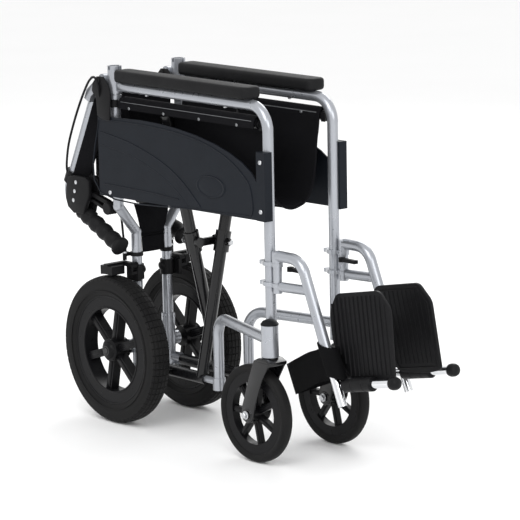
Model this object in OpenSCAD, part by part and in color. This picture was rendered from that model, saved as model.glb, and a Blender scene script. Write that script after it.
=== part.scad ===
// Folding attendant wheelchair, shown folded: sides together, back folded down, footplates flipped up.
// Millimetres, +Z up, the chair faces -Y, its left side is +X. Ground is Z = 0 and X = 0 is the mid-plane.
// Every side piece is written for the left side and mirrored for the right.

/* [Overall] */
// Distance between the two side frames' posts when folded
folded_w = 171; // [150:1:210]
// Distance between the two side frames' posts when open
open_w = 450; // [380:1:520]
// Rear axle to caster axle
wheelbase = 458; // [420:1:520]
// Rear post to front post
frame_l = 484; // [450:1:540]
// Height of the armrest tube
arm_z = 717; // [700:1:780]

/* [Wheels] */
// Rear wheel over the tread
rear_d = 315; // [290:1:330]
// Rear tyre width
rear_w = 48; // [40:1:54]
// Caster over the tread
caster_d = 200; // [180:1:205]
// Caster tyre width
caster_w = 26; // [22:1:30]
// Rear wheel plane, out from the post line
wheel_out = 12.5; // [10:0.5:25]
// Spokes in a rear wheel
rear_spokes = 6; // [5:1:7]
// Spokes in a caster
caster_spokes = 7; // [5:1:8]

/* [Tubes] */
// Frame tube
tube_d = 22; // [20:0.5:25]
// Cross brace tube
brace_d = 25; // [22:0.5:28]
// Caster barrel
barrel_d = 35; // [32:0.5:40]
// Bend radius of the frame tube at its centre line
bend_r = 48; // [40:1:60]

/* [Cross brace] */
// Height of the lower pivots
brace_foot_z = 120; // [110:1:135]
// Height of the seat rails when folded
rail_z = 681; // [640:1:690]
// Length of the link between the two arms
link_l = 45; // [40:1:52]
// Distance between the two arms along the chair
brace_gap = 42; // [36:1:60]
// Running clearance on every pin, per side
run_gap = 0.05; // [0.03:0.01:0.09]
// Gap between neighbours that do not touch
part_gap = 0.3; // [0.2:0.05:0.5]

/* [Side panel and armrest] */
// Armrest pad length
pad_l = 424; // [380:1:440]
// Armrest pad width
pad_w = 48; // [40:1:60]
// Armrest pad thickness
pad_t = 25; // [18:1:30]
// Side panel thickness
panel_t = 3; // [2:0.5:4]

/* [Back and handles] */
// Push handle above the back pivot
cane_l = 305; // [260:1:320]
// How far the cane hangs out from straight down when folded
cane_tilt = 25.8; // [22:0.1:30]
// Length of the handle from its corner
handle_l = 200; // [180:1:215]
// Grip diameter
grip_d = 33; // [30:1:36]

/* [Footrests] */
// Lean of the footrest tube
leg_tilt = 23.3; // [18:0.1:28]
// Rise of the footplate's pivot towards the front
plate_rise = 11; // [6:0.5:14]
// Footplate, from its pivot to its free edge
plate_h = 178; // [160:1:185]
// Footplate along its pivot
plate_w = 173; // [150:1:175]
// Footplate thickness
plate_t = 8; // [6:0.5:10]
// Inner footrest tube
leg_d = 18; // [17:0.5:19]

/* [Hidden] */

$fn = 48;
silver = [0.72, 0.75, 0.79];
black = [0.07, 0.07, 0.08];
slate = [0.14, 0.15, 0.17];
chrome = [0.85, 0.86, 0.88];
rubber = [0.05, 0.05, 0.05];

// Side frame
tube_r = tube_d / 2;
bend_lap = 2;
bend_swell = 0.2;
ball_swell = 0.6;
post_x = folded_w / 2;
foot_x = post_x - link_l;
origin_y = 324.6;
rear_post_y = -4;
front_post_y = rear_post_y - frame_l;
axle_z = rear_d / 2;
wheel_x = post_x + wheel_out;
jog_top_z = 462;
jog_foot_z = 402;
rear_foot_z = 98;
leg_post_y = -268;
lower_tube_z = 256;
ear_t = 4;
ear_r = 13;
ear_hole_r = 3.5;
ear_in = 8;
axle_boss_r = tube_d / 2 + 3.5;

// Back pivot and cane
cast_r = 15;
cast_top_z = arm_z + 42;
pivot_y = rear_post_y + 24;
pivot_z = arm_z + 11;
pivot_pin_r = 4;
knuckle_r = 13;
cane_off = pivot_y - rear_post_y;
cane_start = 33;
cane_bend_r = 32;
ear_half = cast_r + part_gap;
ear_w = 4.5;

// Front barrel and caster
barrel_x = post_x + 18.5;
barrel_y = front_post_y - 16;
barrel_z0 = 223;
barrel_h = 66;
caster_r = caster_d / 2;
caster_y = -wheelbase;
stem_r = 7.5;
fork_half = 20;
fork_t = 4;
axle_r = 6;
caster_axle_r = 4;

// Cross brace
brace_r = brace_d / 2;
brace_rise = rail_z - brace_foot_z;
brace_run = 2 * foot_x + link_l;
brace_l = sqrt(brace_rise * brace_rise + brace_run * brace_run);
brace_a = atan(brace_run / brace_rise);
brace_right_y = -212;
brace_left_y = brace_right_y + brace_gap;
rod_r = 7;
sleeve_r = 12;
sleeve_y0 = leg_post_y + 42;
sleeve_y1 = -50;
collar_r = brace_r + 4;
collar_h = 44;
link_pin_r = 5;
rail_y0 = rear_post_y - 18;
rail_y1 = front_post_y + 24;
guide_r = 17;
guide_h = 15;
stub_r = 7;

// Footrest
hang_x = post_x + 3;
hang_y = front_post_y - 25;
hang_pin_r = 5;
stub_z = 421;
strut_z = 366;
leg_top_y = front_post_y - 95;
leg_top_z = stub_z;
leg_foot_z = 152;
leg_dir = [0, -sin(leg_tilt), -cos(leg_tilt)];
leg_l = (leg_top_z - leg_foot_z) / cos(leg_tilt);
bar_at = 251.5;
bar_r = 8.5;
hub_r = 14;
bar_x = hang_x - 10.5;
plate_in = 12;
plate_y = 26;
plate_lean = 3.2;

function lerp(a, b, t) = a + (b - a) * t;
function unit(v) = v / norm(v);
function leg_point(s) = [hang_x, leg_top_y, leg_top_z] + s * leg_dir;

module place() translate([0, origin_y, 0]) children();
module left() place() children();
module right() place() mirror([1, 0, 0]) children();

// A rod or tube from a to b
module rod(a, b, r) {
    d = b - a;
    translate(a)
        rotate([0, acos(d[2] / norm(d)), atan2(d[1], d[0])])
            cylinder(r = r, h = norm(d));
}

// A round bend at b between the runs a-b and b-c
module elbow(a, b, c, r, bend) {
    u = unit(b - a);
    v = unit(c - b);
    turn = acos(u * v);
    mid = unit(v - u);
    centre = b + mid * (bend / cos(turn / 2));
    e1 = unit(b - u * bend * tan(turn / 2) - centre);
    e3 = unit(cross(u, v));
    e2 = cross(e3, e1);
    multmatrix([
        [e1[0], e2[0], e3[0], centre[0]],
        [e1[1], e2[1], e3[1], centre[1]],
        [e1[2], e2[2], e3[2], centre[2]],
        [0, 0, 0, 1]
    ])
        rotate_extrude(angle = turn)
            translate([bend, 0])
                circle(r = r);
}

function setback(a, b, c, bend) = bend * tan(acos(unit(b - a) * unit(c - b)) / 2);

// A bent tube through the points, all bends of one radius
module bent_tube(p, r, bend) {
    n = len(p);
    for (i = [0 : n - 2]) {
        u = unit(p[i + 1] - p[i]);
        s0 = i == 0 ? 0 : setback(p[i - 1], p[i], p[i + 1], bend) - bend_lap;
        s1 = i == n - 2 ? 0 : setback(p[i], p[i + 1], p[i + 2], bend) - bend_lap;
        rod(p[i] + u * s0, p[i + 1] - u * s1, r);
    }
    for (i = [1 : n - 2])
        elbow(p[i - 1], p[i], p[i + 1], r + bend_swell, bend);
}

// A tube through the points with a ball at each turn
module jogged_tube(p, r) {
    for (i = [0 : len(p) - 2])
        rod(p[i], p[i + 1], r);
    for (i = [1 : len(p) - 2])
        translate(p[i])
            sphere(r = r + ball_swell);
}

// A pin or bore along X, centred on x
module pin_x(x, y, z, r, l)
    translate([x - l / 2, y, z])
        rotate([0, 90, 0])
            cylinder(r = r, h = l);

module pin_y(x, y0, y1, z, r)
    translate([x, y1, z])
        rotate([90, 0, 0])
            cylinder(r = r, h = y1 - y0);

module block(x0, x1, y0, y1, z0, z1)
    translate([x0, y0, z0])
        cube([x1 - x0, y1 - y0, z1 - z0]);

// A flat link in a plane across X between two round ends
module link_x(x0, x1, a, b, r) {
    d = b - a;
    for (p = [a, b])
        pin_x((x0 + x1) / 2, p[0], p[1], r, x1 - x0);
    translate([x0, a[0], a[1]])
        rotate([atan2(d[1], d[0]), 0, 0])
            translate([0, 0, -r])
                cube([x1 - x0, norm(d), 2 * r]);
}

// A ribbon solid across X from a (y, z) outline
module slab_x(x0, x1, outline)
    translate([x0, 0, 0])
        rotate([90, 0, 90])
            linear_extrude(height = x1 - x0)
                polygon(outline);

// A thin round cord swept along its own points
module cord(p, r, sides = 8) {
    n = len(p);
    t = [for (i = [0 : n - 1]) unit(p[min(i + 1, n - 1)] - p[max(i - 1, 0)])];
    side = [for (v = t) unit(cross(v, [1, 0, 0]))];
    rise = [for (i = [0 : n - 1]) cross(side[i], t[i])];
    ring = [for (i = [0 : n - 1]) for (k = [0 : sides - 1])
        p[i] + r * (cos(360 * k / sides) * side[i] + sin(360 * k / sides) * rise[i])];
    wall = [for (i = [0 : n - 2]) for (k = [0 : sides - 1])
        [i * sides + k, (i + 1) * sides + k, (i + 1) * sides + (k + 1) % sides, i * sides + (k + 1) % sides]];
    polyhedron(
        points = ring,
        faces = concat(wall, [[for (k = [0 : sides - 1]) k]], [[for (k = [sides - 1 : -1 : 0]) (n - 1) * sides + k]]));
}

// ---- Side frame ----

module post_top() {
    difference() {
        union() {
            translate([post_x, rear_post_y, arm_z - 15])
                cylinder(r = cast_r, h = cast_top_z - arm_z + 15);
            translate([post_x, rear_post_y, arm_z - 28])
                cylinder(r = cast_r - 1.5, h = 9);
            pin_x(post_x, pivot_y, pivot_z, knuckle_r, 2 * cast_r);
            block(post_x - 8, post_x + 8, rear_post_y, pivot_y, pivot_z - 12, pivot_z + 8);
            block(post_x - 7, post_x + 7, rear_post_y - cast_r - 5, rear_post_y, arm_z - 9, arm_z + 9);
        }
        translate([post_x, rear_post_y, arm_z + 27])
            cylinder(r = tube_r - 1, h = 60);
        block(post_x - 2.5, post_x + 2.5, rear_post_y - 30, rear_post_y, arm_z + 30, cast_top_z + 1);
        block(post_x - 30, post_x + 30, rear_post_y - 3, rear_post_y + 3, arm_z + 34, cast_top_z + 1);
    }
    pin_x(post_x, pivot_y, pivot_z, pivot_pin_r, 2 * (ear_half + ear_w) + 6);
    for (s = [-1, 1])
        pin_x(post_x + s * (ear_half + ear_w + part_gap + 1.5), pivot_y, pivot_z, pivot_pin_r + 3, 3 - part_gap);
}

module rear_post() color(silver) {
    path = [
        [post_x, rear_post_y, arm_z + 6],
        [post_x, rear_post_y, jog_top_z],
        [foot_x, rear_post_y, jog_foot_z],
        [foot_x, rear_post_y, rear_foot_z]
    ];
    post_top();
    difference() {
        union() {
            jogged_tube(path, tube_r);
            translate([foot_x, rear_post_y, axle_z - 50])
                cylinder(r = axle_boss_r, h = 108);
            pin_x(foot_x + 13, 0, axle_z, 15, 26);
            link_x(foot_x + ear_in, foot_x + ear_in + ear_t, [-9, brace_foot_z - 4], [-33, brace_foot_z - 3], ear_r);
        }
        pin_x(foot_x + 20, 0, axle_z, axle_r + run_gap, 80);
        pin_x(foot_x + ear_in, -33, brace_foot_z - 3, ear_hole_r, 20);
    }
}

module front_frame() color(silver) {
    difference() {
        union() {
            bent_tube([
                [post_x, rear_post_y - cast_r - 5 - part_gap, arm_z],
                [post_x, front_post_y, arm_z],
                [post_x, front_post_y, barrel_z0 + 2]
            ], tube_r, bend_r);
            translate([barrel_x, barrel_y, barrel_z0])
                cylinder(r = barrel_d / 2, h = barrel_h);
            bent_tube([
                [barrel_x, barrel_y, lower_tube_z],
                [foot_x, leg_post_y, lower_tube_z + 3],
                [foot_x, leg_post_y, brace_foot_z - 12]
            ], tube_r, bend_r - 8);
            link_x(foot_x + ear_in, foot_x + ear_in + ear_t, [leg_post_y - 4, brace_foot_z - 2],
                [leg_post_y + 26, brace_foot_z + 3], ear_r);
            translate([foot_x, leg_post_y, brace_foot_z - 16])
                cylinder(r = tube_r + 2, h = 26);
        }
        translate([barrel_x, barrel_y, barrel_z0 - 1])
            cylinder(r = stem_r + run_gap, h = barrel_h + 2);
        translate([barrel_x, barrel_y, barrel_z0 + barrel_h - 9])
            cylinder(r = barrel_d / 2 - 2, h = 10);
        pin_x(foot_x + ear_in, leg_post_y + 28, brace_foot_z + 3, ear_hole_r, 20);
    }
    pin_y(foot_x, leg_post_y + tube_r, rear_post_y - axle_boss_r - part_gap, brace_foot_z, rod_r);
    for (z = [stub_z - 14, strut_z])
        hinge_plate(z);
}

// Ring on the front post with the eye that carries a footrest's pin
module hinge_plate(z) {
    difference() {
        union() {
            translate([post_x, front_post_y, z - 4])
                cylinder(r = tube_r + 4, h = 8);
            block(post_x - 5, post_x + 9, hang_y, front_post_y, z - 4, z + 4);
            translate([hang_x, hang_y, z - 4])
                cylinder(r = 11, h = 8);
            block(post_x - 6, post_x + 6, front_post_y, front_post_y + 26, z - 4, z + 4);
        }
        translate([hang_x, hang_y, z - 5])
            cylinder(r = hang_pin_r + run_gap, h = 10);
    }
}

module arm_pad() color(black) {
    y1 = rear_post_y - 19;
    y0 = y1 - pad_l;
    z0 = arm_z + tube_r + part_gap;
    r = pad_w / 2 - 8;
    intersection() {
        block(post_x - pad_w / 2, post_x + pad_w / 2, y0, y1, z0, z0 + pad_t);
        union() {
            block(post_x - pad_w / 2, post_x + pad_w / 2, y0 + r, y1 - 6, z0, z0 + pad_t);
            block(post_x - pad_w / 2 + r, post_x + pad_w / 2 - r, y0, y1, z0, z0 + pad_t);
            for (s = [-1, 1]) {
                translate([post_x + s * (pad_w / 2 - r), y0 + r, z0])
                    cylinder(r = r, h = pad_t);
                translate([post_x + s * (pad_w / 2 - 6), y1 - 6, z0])
                    cylinder(r = 6, h = pad_t);
            }
        }
    }
}

panel_x = post_x + guide_r + 2 * part_gap;
panel_z0 = jog_top_z + 23;
panel_z1 = panel_z0 + 166;
channel_z1 = panel_z0 + 145;

module side_panel() color(slate) {
    rise = panel_z1 - panel_z0;
    back = rear_post_y + 36;
    front = front_post_y + tube_r - 3;
    difference() {
        slab_x(panel_x, panel_x + panel_t, concat(
            [[back, panel_z0], [front, panel_z0 + 8], [front, panel_z0 + 66]],
            [for (a = [0 : 10 : 90]) [
                lerp(front, back - 140, 1 - cos(a)),
                panel_z0 + 66 + (rise - 60) * sin(a)]],
            [[back, panel_z1]]));
        pin_x(panel_x, rear_post_y, panel_z0 + 9, 2.2, 20);
    }
    // Channel that clips over the front post
    difference() {
        block(post_x + 4, panel_x + panel_t + 3, front_post_y - 15, front_post_y + tube_r - 1, panel_z0 + 8, channel_z1);
        translate([post_x, front_post_y, panel_z0])
            cylinder(r = tube_r + run_gap, h = rise);
    }
    // Spacer against the rear post
    difference() {
        pin_x((post_x + tube_r + panel_x) / 2, rear_post_y, panel_z0 + 9, 7, panel_x - post_x - tube_r + 3);
        translate([post_x, rear_post_y, panel_z0 - 10])
            cylinder(r = tube_r + run_gap, h = 40);
        pin_x(panel_x, rear_post_y, panel_z0 + 9, 2.2, 20);
    }
}

// ---- Back cane, handle and brake lever ----

// Point on the cane side: along is down the cane, out is away from the pivot
function cane_point(along, out, x = post_x) = [
    x,
    pivot_y + along * sin(cane_tilt) + out * cos(cane_tilt),
    pivot_z - along * cos(cane_tilt) + out * sin(cane_tilt)
];
corner = cane_point(cane_l, cane_off);
handle_end = cane_point(cane_l, cane_off - handle_l);
handle_dir = unit(handle_end - corner);
cane_dir = unit(corner - cane_point(0, cane_off));

// Places a piece drawn along +X = towards the pivot side, +Z = up the cane
module on_cane(along, out) {
    p = cane_point(along, out);
    translate(p)
        rotate([cane_tilt, 0, 0])
            children();
}

module cane() color(silver) {
    bent_tube([cane_point(cane_start, cane_off), corner, handle_end], tube_r, cane_bend_r);
    difference() {
        union() {
            for (s = [-1, 1])
                translate([s * (ear_half + ear_w / 2), 0, 0])
                    link_x(post_x - ear_w / 2, post_x + ear_w / 2,
                        [pivot_y, pivot_z], yz(cane_point(cane_start + 12, cane_off)), 9.5);
            on_cane(cane_start + 12, cane_off)
                translate([0, 0, -9])
                    cube([2 * (ear_half + ear_w), 18, 18], center = true);
        }
        pin_x(post_x, pivot_y, pivot_z, pivot_pin_r + run_gap, 80);
    }
}

function yz(p) = [p[1], p[2]];

module grip() color(black) {
    a = corner + handle_dir * 58;
    b = corner + handle_dir * (handle_l + 5);
    difference() {
        union() {
            rod(a, b, grip_d / 2);
            rod(b - handle_dir * 8, b, grip_d / 2 + 4);
        }
        rod(a - handle_dir, corner + handle_dir * handle_l, tube_r);
    }
}

lever_pivot = corner + handle_dir * 36 - cane_dir * 30;

// Points beside the bend: u along the handle, v down the cane, both from the corner
function by_bend(u, v) = corner + handle_dir * u + cane_dir * v;
lever_half = 6;
mount_half = tube_r + 5;

// Clamp on the cane with the two cheeks that carry the brake lever's pin
module brake_mount() color(black) {
    difference() {
        union() {
            rod(by_bend(0, -64), by_bend(0, -37), mount_half);
            slab_x(post_x - mount_half + 1, post_x + mount_half - 1, [for (q = [
                [7, -62], [30, -56], [48, -40], [48, -25], [37, -17], [25, -22], [15, -36], [7, -39]
            ]) yz(by_bend(q[0], q[1]))]);
        }
        rod(by_bend(0, -80), by_bend(0, -30), tube_r + run_gap);
        slab_x(post_x - lever_half - part_gap, post_x + lever_half + part_gap, [for (q = [
            [25, -80], [70, -80], [70, -5], [25, -5]
        ]) yz(by_bend(q[0], q[1]))]);
    }
    pin_x(post_x, lever_pivot[1], lever_pivot[2], 3, 2 * mount_half + 2);
}

// Loop lever with a ribbed round end
module brake_lever() color(black) {
    tip = by_bend(140, -58);
    difference() {
        union() {
            slab_x(post_x - lever_half, post_x + lever_half, [for (q = [
                [27, -37], [50, -46], [84, -60], [130, -70], [146, -64], [144, -50], [128, -46],
                [86, -40], [52, -24], [30, -22]
            ]) yz(by_bend(q[0], q[1]))]);
            pin_x(post_x, tip[1], tip[2], 12.5, 24);
        }
        slab_x(post_x - 20, post_x + 20, [for (q = [
            [58, -38], [86, -52], [124, -60], [124, -52], [86, -46], [62, -33]
        ]) yz(by_bend(q[0], q[1]))]);
        pin_x(post_x, lever_pivot[1], lever_pivot[2], 3 + run_gap, 40);
    }
}

// ---- Brake cable and brake at the wheel ----

cable_r = 2.5;
adjuster_x = foot_x + 23;
adjuster_y = 8;
adjuster_z = 343;
cable_upper = [
    [post_x + 9, 172, 497], [post_x + 11, 184, 514], [post_x + 12, 190, 535], [post_x + 12, 190, 560],
    [post_x + 12, 184, 590], [post_x + 13, 173, 622], [post_x + 15, 158, 655], [post_x + 20, 140, 688],
    [post_x + 26, 118, 718], [post_x + 28, 94, 736], [post_x + 28, 72, 743], [post_x + 28, 52, 741],
    [post_x + 28, 38, 733]
];
cable_lower = [
    [post_x + 28, 16, 712], [post_x + 26, 18, 700], [post_x + 20, 21, 688], [post_x + 14, 23, 672],
    [post_x + 13, 24, 640], [post_x + 13, 25, 600], [post_x + 13, 25, 560], [post_x + 13, 26, 520],
    [post_x + 10, 28, 499], [post_x, 29, 487], [post_x - 12, 27, 477], [post_x - 20, 24, 464],
    [post_x - 23.5, 20, 445], [post_x - 23.5, 16, 420], [adjuster_x, 11, 395], [adjuster_x, 8, 375]
];

module brake_cable_upper() color(black) cord(cable_upper, cable_r);
module brake_cable_lower() color(black) cord(cable_lower, cable_r);

shoe_pin_y = -22;
shoe_pin_z = axle_z + rear_d / 2 + 19;

module brake_bracket() color(black) {
    x0 = foot_x + tube_r;
    difference() {
        union() {
            translate([foot_x, rear_post_y, rear_d - 14])
                cylinder(r = tube_r + 4, h = 32);
            block(x0, x0 + 8, -31, 8, rear_d - 14, rear_d + 18);
            link_x(x0 + 4, x0 + 8, [shoe_pin_y, rear_d + 2], [shoe_pin_y, shoe_pin_z], 8);
            link_x(x0 + 20, x0 + 24, [shoe_pin_y, rear_d + 10], [shoe_pin_y, shoe_pin_z], 8);
            block(x0 + 4, x0 + 24, -30, -14, rear_d + 2, rear_d + 8);
            translate([foot_x, rear_post_y, rear_d + 36])
                cylinder(r = tube_r + 3, h = 8);
            block(x0, adjuster_x, adjuster_y - 4, adjuster_y + 4, rear_d + 36, rear_d + 44);
            translate([adjuster_x, adjuster_y, adjuster_z])
                cylinder(r = 4.5, h = 31);
        }
        translate([foot_x, rear_post_y, rear_d - 20])
            cylinder(r = tube_r + run_gap, h = 80);
    }
    pin_x(x0 + 15, shoe_pin_y, shoe_pin_z, 3, 24);
    pin_x(foot_x - tube_r - 5, rear_post_y, rear_d + 4, 6, 4);
}

module brake_shoe() color(black) {
    x0 = foot_x + tube_r + 8 + part_gap;
    x1 = foot_x + tube_r + 20 - part_gap;
    difference() {
        union() {
            pin_x((x0 + x1) / 2, shoe_pin_y, shoe_pin_z, 7, x1 - x0);
            block(x0, x1, shoe_pin_y, 14, shoe_pin_z - 2, shoe_pin_z + 7);
            block(x0, wheel_x + 17, 2, 14, shoe_pin_z - 2, shoe_pin_z + 7);
            block(wheel_x - 17, wheel_x + 17, -13, 26, rear_d, shoe_pin_z + 3);
        }
        pin_x((x0 + x1) / 2, shoe_pin_y, shoe_pin_z, 3 + run_gap, 40);
        pin_x(wheel_x, 0, axle_z, rear_d / 2 + 4.5, 60);
        block(adjuster_x - 5, adjuster_x + 5, adjuster_y - 5, 15, adjuster_z - 1, adjuster_z + 20);
    }
}

// ---- Wheels ----

rim_r = rear_d / 2 - 41;
hub_half = 21;

module wheel_core(r, half, spokes, bore, hub_r, rim_in, spoke_w) {
    difference() {
        union() {
            rotate([0, 90, 0]) {
                difference() {
                    translate([0, 0, -half])
                        cylinder(r = r, h = 2 * half);
                    translate([0, 0, -half - 1])
                        cylinder(r = rim_in, h = 2 * half + 2);
                }
                translate([0, 0, -hub_half])
                    cylinder(r = hub_r, h = 2 * hub_half);
            }
            for (k = [0 : spokes - 1])
                rotate([360 * k / spokes + 12, 0, 0])
                    translate([-half * 0.6, -spoke_w / 2, hub_r - 4])
                        cube([half * 1.2, spoke_w, rim_in - hub_r + 8]);
        }
        rotate([0, 90, 0])
            cylinder(r = bore, h = 200, center = true);
    }
}

module tyre_ring(r, w, inner) {
    rotate([0, 90, 0])
        difference() {
            rotate_extrude()
                translate([r - w / 2, 0])
                    circle(r = w / 2);
            cylinder(r = inner, h = 200, center = true);
        }
}

module rear_wheel() color(black)
    translate([wheel_x, 0, axle_z])
        wheel_core(rim_r, 17, rear_spokes, axle_r + run_gap, 22, rim_r - 28, 17);

module rear_tyre() color(rubber)
    translate([wheel_x, 0, axle_z])
        tyre_ring(rear_d / 2, rear_w, rim_r + run_gap);

module rear_axle() color(chrome) {
    pin_x((foot_x - 18 + wheel_x + 30) / 2, 0, axle_z, axle_r, wheel_x - foot_x + 48);
    pin_x(wheel_x + hub_half + part_gap + 4, 0, axle_z, 10, 8);
    pin_x(foot_x - tube_r - 3.5 - part_gap - 3, 0, axle_z, 10, 6);
}

caster_rim_r = caster_r - 17;

module caster_wheel() color(black)
    translate([barrel_x, caster_y, caster_r])
        intersection() {
            wheel_core(caster_rim_r, 9, caster_spokes, caster_axle_r + run_gap, 16, caster_rim_r - 20, 12);
            rotate([0, 90, 0])
                cylinder(r = caster_r, h = 2 * (fork_half - part_gap), center = true);
        }

module caster_tyre() color(rubber)
    translate([barrel_x, caster_y, caster_r])
        tyre_ring(caster_r, caster_w, caster_rim_r + run_gap);

// Fork with its stem and the axle bolt through its two blades
module caster_fork() color(black) {
    top = barrel_z0 - part_gap;
    crown = top - 10;
    blade = [
        [caster_y - 74, top], [caster_y - 62, 204], [caster_y - 45, 178], [caster_y - 32, 148],
        [caster_y - 22, 120], [caster_y - 18, 98], [caster_y - 12, 86], [caster_y, 81],
        [caster_y + 12, 86], [caster_y + 18, 98], [caster_y + 16, 115], [caster_y + 8, 135],
        [caster_y, 165], [caster_y - 18, top]
    ];
    difference() {
        union() {
            for (s = [-1, 1])
                slab_x(barrel_x + s * (fork_half + fork_t / 2) - fork_t / 2,
                    barrel_x + s * (fork_half + fork_t / 2) + fork_t / 2, blade);
            block(barrel_x - fork_half - 1, barrel_x + fork_half + 1, caster_y - 74, caster_y - 18, crown, top);
            translate([barrel_x, barrel_y, crown])
                cylinder(r = 21, h = 10);
        }
        pin_x(barrel_x, caster_y, caster_r, caster_r + 3, 2 * fork_half);
    }
    translate([barrel_x, barrel_y, crown])
        cylinder(r = stem_r, h = 10 + barrel_h - 12);
    pin_x(barrel_x, caster_y, caster_r, caster_axle_r, 2 * (fork_half + fork_t) + 12);
    pin_x(barrel_x + fork_half + fork_t + 3, caster_y, caster_r, 7.5, 6);
    pin_x(barrel_x - fork_half - fork_t - 3, caster_y, caster_r, 7.5, 6);
}

// ---- Footrest ----

hanger_foot = leg_point(leg_l - 68);

module hanger() color(silver) {
    difference() {
        union() {
            bent_tube([[hang_x, hang_y - 3, stub_z + 4], [hang_x, leg_top_y, leg_top_z + 4], hanger_foot],
                tube_r, bend_r - 6);
            rod([hang_x, hang_y - 12, strut_z - 2], leg_point(58), tube_r - 1);
            translate([hang_x, hang_y, strut_z - 16])
                cylinder(r = 9, h = 12 - part_gap);
            translate([hang_x, hang_y, strut_z + 4 + part_gap])
                cylinder(r = 9, h = stub_z - 14 - strut_z - 8 - 2 * part_gap);
            translate([hang_x, hang_y, stub_z - 10 + part_gap])
                cylinder(r = 11, h = 22);
        }
        rod(leg_point(120), leg_point(leg_l - 60), leg_d / 2 + run_gap);
        translate([hang_x, hang_y, strut_z - 4 - part_gap])
            cylinder(r = 14, h = 8 + 2 * part_gap);
        translate([hang_x, hang_y, stub_z - 18 - part_gap])
            cylinder(r = 14, h = 8 + 2 * part_gap);
    }
    translate([hang_x, hang_y, strut_z - 14])
        cylinder(r = hang_pin_r, h = stub_z - strut_z + 10);
}

module hanger_latch() color(black) {
    z1 = stub_z - 18 - part_gap - 1;
    x1 = hang_x - 12;
    difference() {
        union() {
            translate([x1 - 8, hang_y - 16, z1 - 9])
                cylinder(r = 7, h = 9);
            block(x1 - 13, x1 - 3, hang_y - 58, hang_y - 16, z1 - 8, z1 - 1);
        }
        translate([x1 - 8, hang_y - 16, z1 - 12])
            cylinder(r = 2.5 + run_gap, h = 20);
    }
}

bar_a = plate_rise;
bar_dir = [0, -cos(bar_a), sin(bar_a)];
plate_up = [0, sin(bar_a), cos(bar_a)];
bar_start = [bar_x, leg_point(bar_at)[1], leg_point(bar_at)[2]];

module leg_tube() color(chrome) {
    rod(leg_point(132), leg_point(leg_l), leg_d / 2);
    rod(bar_start - bar_dir * 9, bar_start + bar_dir * 148, bar_r);
    rod(bar_start + bar_dir * 148, bar_start + bar_dir * 160, bar_r + 3);
}

module footplate() color(black) {
    hub_a = 14;
    hub_b = 94;
    difference() {
        union() {
            rod(bar_start + bar_dir * hub_a, bar_start + bar_dir * hub_b, hub_r);
            translate(bar_start)
                rotate([-bar_a, -plate_lean, 0])
                    slab_x(-plate_in - plate_t, -plate_in, [
                        [-22, 4], [plate_y, 84], [plate_y, plate_h - 34], [plate_y - 24, plate_h],
                        [plate_y - plate_w + 28, plate_h], [plate_y - plate_w, plate_h - 36],
                        [plate_y - plate_w + 8, 2], [-104, 0]]);
        }
        rod(bar_start, bar_start + bar_dir * 150, bar_r + run_gap);
    }
}

// Sleeve of the calf strap round the footrest tube with the first hand's breadth of webbing
module calf_strap() color(black) {
    a = leg_point(148);
    b = leg_point(206);
    difference() {
        union() {
            rod(a, b, tube_r + 2.5);
            translate((a + b) / 2)
                rotate([-leg_tilt, 0, 0])
                    rotate([0, 0, 20])
                        translate([-4, 0, -29])
                            cube([3, 55, 58]);
        }
        rod(a + (a - b), b + (b - a), tube_r + 2 * part_gap);
    }
}

// ---- Cross brace, rails and cloth ----

// Arm whose foot is on the right rod; the left arm is its mirror at another station
module brace_arm(y) color(black) {
    foot = [-foot_x, y, brace_foot_z];
    head = [post_x, y, rail_z];
    mid = (foot + head) / 2;
    d = unit(head - foot);
    difference() {
        union() {
            rod(foot, head - d * (tube_r - 1), brace_r);
            rod(mid - d * collar_h / 2, mid + d * collar_h / 2, collar_r);
            pin_y(-foot_x, sleeve_y0, sleeve_y1, brace_foot_z, sleeve_r);
        }
        pin_y(-foot_x, sleeve_y0 - 1, sleeve_y1 + 1, brace_foot_z, rod_r + run_gap);
        pin_y(mid[0], y - 40, y + 40, mid[2], link_pin_r + run_gap);
        pin_y(post_x, y - 40, y + 40, rail_z, tube_r);
    }
}

module cross_link() color(black) place() {
    z = (brace_foot_z + rail_z) / 2;
    x = link_l / 2;
    y0 = brace_right_y + collar_r + part_gap;
    y1 = brace_left_y - collar_r - part_gap;
    block(-x, x, y0, y1, z - 8, z + 8);
    pin_y(x, y0, y1, z, 11);
    pin_y(-x, y0, y1, z, 11);
    pin_y(x, brace_right_y - collar_r - 3, y1, z, link_pin_r);
    pin_y(-x, y0, brace_left_y + collar_r + 3, z, link_pin_r);
    pin_y(x, brace_right_y - collar_r - 6, brace_right_y - collar_r - part_gap, z, 8);
    pin_y(-x, brace_left_y + collar_r + part_gap, brace_left_y + collar_r + 6, z, 8);
}

module seat_rail() color(silver)
    difference() {
        pin_y(post_x, rail_y1, rail_y0, rail_z, tube_r);
        pin_y(post_x, rail_y0 - 30, rail_y0 + 1, rail_z, stub_r + run_gap);
        pin_y(post_x, rail_y1 - 1, rail_y1 + 30, rail_z, stub_r + run_gap);
    }

module rail_guides() color(black) {
    difference() {
        union() {
            translate([post_x, rear_post_y, rail_z - guide_h / 2])
                cylinder(r = guide_r, h = guide_h);
            pin_y(post_x, rail_y0 - 26, rear_post_y, rail_z, stub_r);
        }
        translate([post_x, rear_post_y, rail_z - guide_h])
            cylinder(r = tube_r + run_gap, h = 2 * guide_h);
    }
    difference() {
        union() {
            block(post_x - 10, post_x + 3, front_post_y + 4, rail_y1 - part_gap, rail_z - 12, rail_z + 7);
            pin_y(post_x, front_post_y + tube_r + 10, rail_y1 + 26, rail_z, stub_r);
        }
        // clear of the tube where it starts to bend back
        translate([post_x, front_post_y + 6, rail_z - 13])
            cylinder(r = tube_r + part_gap, h = guide_h + 13);
        translate([post_x, front_post_y, rail_z - guide_h])
            cylinder(r = tube_r + part_gap, h = 2 * guide_h);
    }
}

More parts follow.
